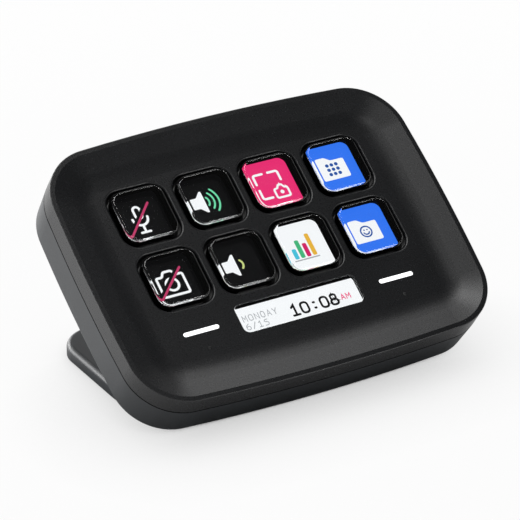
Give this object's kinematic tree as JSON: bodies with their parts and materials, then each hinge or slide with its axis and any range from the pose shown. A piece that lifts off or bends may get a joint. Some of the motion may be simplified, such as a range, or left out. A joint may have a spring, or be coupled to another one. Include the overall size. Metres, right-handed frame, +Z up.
{
  "type": "desk macro keypad",
  "caption": "Angled desk keypad with clear display keys, a narrow information display, lit touch bars and a fixed weighted stand.",
  "frame": {"origin": "centre of the desk pad's underside, on the desk", "axes": "+X to the user's right, +Y away from the user, +Z up; the panel is tipped back 35 degrees from level about X"},
  "size_m": [0.1072, 0.0729, 0.0585],
  "materials": {
    "front_shell_plastic": "fine satin moulded texture",
    "rear_shell_plastic": "fine satin moulded texture",
    "clear_acrylic": "clear, polished",
    "silicone": "matt black",
    "pad_rubber": "matt, fine grip texture",
    "flexible_circuit": "amber film",
    "display_glass": "polished",
    "display_backlight": "white diffuser",
    "frame_metal": "pressed sheet",
    "led_package": "smooth",
    "light_diffuser": "milky, frosted",
    "circuit_board": "solder mask",
    "chip_package": "moulded epoxy",
    "socket_plastic": "moulded",
    "steel": "plain zinc plate"
  },
  "bodies": {
    "keypad_body": {"ballast_plate": "steel", "ballast_screws": "steel", "board_passives": "chip_package", "board_screws": "steel", "case_screws": "steel", "controller_chip": "chip_package", "desk_pad": "pad_rubber", "frame_screws": "steel", "front_shell": "front_shell_plastic", "info_display": "display_glass", "info_display_ribbon": "flexible_circuit", "info_window": "clear_acrylic", "inner_frame": "frame_metal", "key_contact_sheet": "flexible_circuit", "key_display_backlight": "display_backlight", "key_display_glass": "display_glass", "key_display_ribbon": "flexible_circuit", "key_mat": "silicone", "main_board": "circuit_board", "memory_chip": "chip_package", "rear_shell": "rear_shell_plastic", "ribbon_sockets": "socket_plastic", "stand_screws": "steel", "stand_shell": "rear_shell_plastic", "touch_board_left": "circuit_board", "touch_board_right": "circuit_board", "touch_leds": "led_package", "touch_light_bar_left": "light_diffuser", "touch_light_bar_right": "light_diffuser", "touch_ribbon_left": "flexible_circuit", "touch_ribbon_right": "flexible_circuit", "usb_socket_shell": "steel", "usb_socket_tongue": "chip_package"},
    "key_1": {"key_cap_1": "clear_acrylic", "key_contact_ring_1": "silicone"},
    "key_2": {"key_cap_2": "clear_acrylic", "key_contact_ring_2": "silicone"},
    "key_3": {"key_cap_3": "clear_acrylic", "key_contact_ring_3": "silicone"},
    "key_4": {"key_cap_4": "clear_acrylic", "key_contact_ring_4": "silicone"},
    "key_5": {"key_cap_5": "clear_acrylic", "key_contact_ring_5": "silicone"},
    "key_6": {"key_cap_6": "clear_acrylic", "key_contact_ring_6": "silicone"},
    "key_7": {"key_cap_7": "clear_acrylic", "key_contact_ring_7": "silicone"},
    "key_8": {"key_cap_8": "clear_acrylic", "key_contact_ring_8": "silicone"}
  },
  "joints": [
    {"name": "key_1_press", "type": "slide", "parent": "keypad_body", "child": "key_1", "axis": [0, 0.5736, -0.8192], "range_m": [0, 0.0012], "stiffness_N_per_m": 400, "springref_m": -0.0003},
    {"name": "key_2_press", "type": "slide", "parent": "keypad_body", "child": "key_2", "axis": [0, 0.5736, -0.8192], "range_m": [0, 0.0012], "stiffness_N_per_m": 400, "springref_m": -0.0003},
    {"name": "key_3_press", "type": "slide", "parent": "keypad_body", "child": "key_3", "axis": [0, 0.5736, -0.8192], "range_m": [0, 0.0012], "stiffness_N_per_m": 400, "springref_m": -0.0003},
    {"name": "key_4_press", "type": "slide", "parent": "keypad_body", "child": "key_4", "axis": [0, 0.5736, -0.8192], "range_m": [0, 0.0012], "stiffness_N_per_m": 400, "springref_m": -0.0003},
    {"name": "key_5_press", "type": "slide", "parent": "keypad_body", "child": "key_5", "axis": [0, 0.5736, -0.8192], "range_m": [0, 0.0012], "stiffness_N_per_m": 400, "springref_m": -0.0003},
    {"name": "key_6_press", "type": "slide", "parent": "keypad_body", "child": "key_6", "axis": [0, 0.5736, -0.8192], "range_m": [0, 0.0012], "stiffness_N_per_m": 400, "springref_m": -0.0003},
    {"name": "key_7_press", "type": "slide", "parent": "keypad_body", "child": "key_7", "axis": [0, 0.5736, -0.8192], "range_m": [0, 0.0012], "stiffness_N_per_m": 400, "springref_m": -0.0003},
    {"name": "key_8_press", "type": "slide", "parent": "keypad_body", "child": "key_8", "axis": [0, 0.5736, -0.8192], "range_m": [0, 0.0012], "stiffness_N_per_m": 400, "springref_m": -0.0003}
  ]
}
